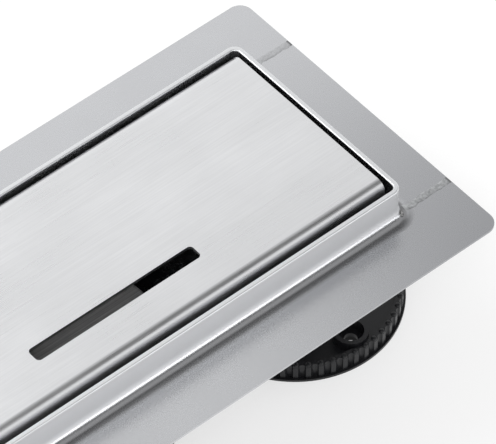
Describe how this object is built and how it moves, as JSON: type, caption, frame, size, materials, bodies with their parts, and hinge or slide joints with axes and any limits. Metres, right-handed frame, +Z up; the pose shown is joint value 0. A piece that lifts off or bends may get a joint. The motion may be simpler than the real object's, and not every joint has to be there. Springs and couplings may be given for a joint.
{
  "type": "linear shower drain",
  "caption": "Linear shower drain: flanged stainless channel with a hemmed rim, loose slotted cover, lift-out odour trap with a side outlet, and screw-levelled feet.",
  "frame": {"origin": "on the floor slab that the feet stand on, under the vertical axis of the trap in the middle of the drain", "axes": "+X along the drain, +Y across it towards the outlet pipe, +Z up"},
  "size_m": [0.3144, 0.1768, 0.1032],
  "materials": {
    "channel_steel": "satin mill finish",
    "weld_steel": "ground weld, satin",
    "cover_steel": "brushed along its length",
    "bridge_steel": "satin mill finish",
    "buffer_rubber": "matt black",
    "gasket_rubber": "matt black",
    "ring_plastic": "matt black moulded",
    "fastener_steel": "bright stainless",
    "trap_plastic": "matt black moulded",
    "strainer_steel": "brushed",
    "bracket_steel": "satin mill finish",
    "washer_steel": "bright zinc-like stainless",
    "stud_steel": "rolled thread, bright",
    "foot_plastic": "black moulded, slight sheen",
    "foot_rubber": "matt black"
  },
  "bodies": {
    "channel": {"channel_sheet": "channel_steel", "end_sheet_right": "channel_steel", "end_sheet_left": "channel_steel", "corner_welds": "weld_steel", "cover_plate": "cover_steel", "cover_bridge_right": "bridge_steel", "cover_bridge_left": "bridge_steel", "cover_buffers": "buffer_rubber", "trap_gasket": "gasket_rubber", "clamp_ring": "ring_plastic", "clamp_screws": "fastener_steel", "trap_body": "trap_plastic", "trap_insert": "trap_plastic", "insert_o_ring": "gasket_rubber", "trap_cup": "trap_plastic", "strainer_cap": "strainer_steel", "foot_bracket_right": "bracket_steel", "foot_bracket_left": "bracket_steel", "foot_washers_right": "washer_steel", "foot_washers_left": "washer_steel"},
    "foot_right": {"foot_stud_right": "stud_steel", "foot_base_right": "foot_plastic", "foot_pad_right": "foot_rubber"},
    "foot_left": {"foot_stud_left": "stud_steel", "foot_base_left": "foot_plastic", "foot_pad_left": "foot_rubber"},
    "nuts_right": {"adjusting_nut_right": "washer_steel", "lock_nut_right": "washer_steel"},
    "nuts_left": {"adjusting_nut_left": "washer_steel", "lock_nut_left": "washer_steel"}
  },
  "joints": [
    {"name": "foot_right_height", "type": "slide", "parent": "channel", "child": "foot_right", "axis": [0, 0, 1], "range_m": [-0.012, 0.004]},
    {"name": "nuts_right_turn", "type": "hinge", "parent": "channel", "child": "nuts_right", "pos_m": [0.1112, 0, 0.028], "axis": [0, 0, 1], "range_deg": [-960.1, 2880.1]},
    {"name": "foot_left_height", "type": "slide", "parent": "channel", "child": "foot_left", "axis": [0, 0, 1], "range_m": [-0.012, 0.004]},
    {"name": "nuts_left_turn", "type": "hinge", "parent": "channel", "child": "nuts_left", "pos_m": [-0.1112, 0, 0.028], "axis": [0, 0, 1], "range_deg": [-960.1, 2880.1]}
  ],
  "couplings": [
    {"joint": "nuts_right_turn", "follows": "foot_right_height", "rad_per_m": -4188.8},
    {"joint": "nuts_left_turn", "follows": "foot_left_height", "rad_per_m": -4188.8}
  ]
}
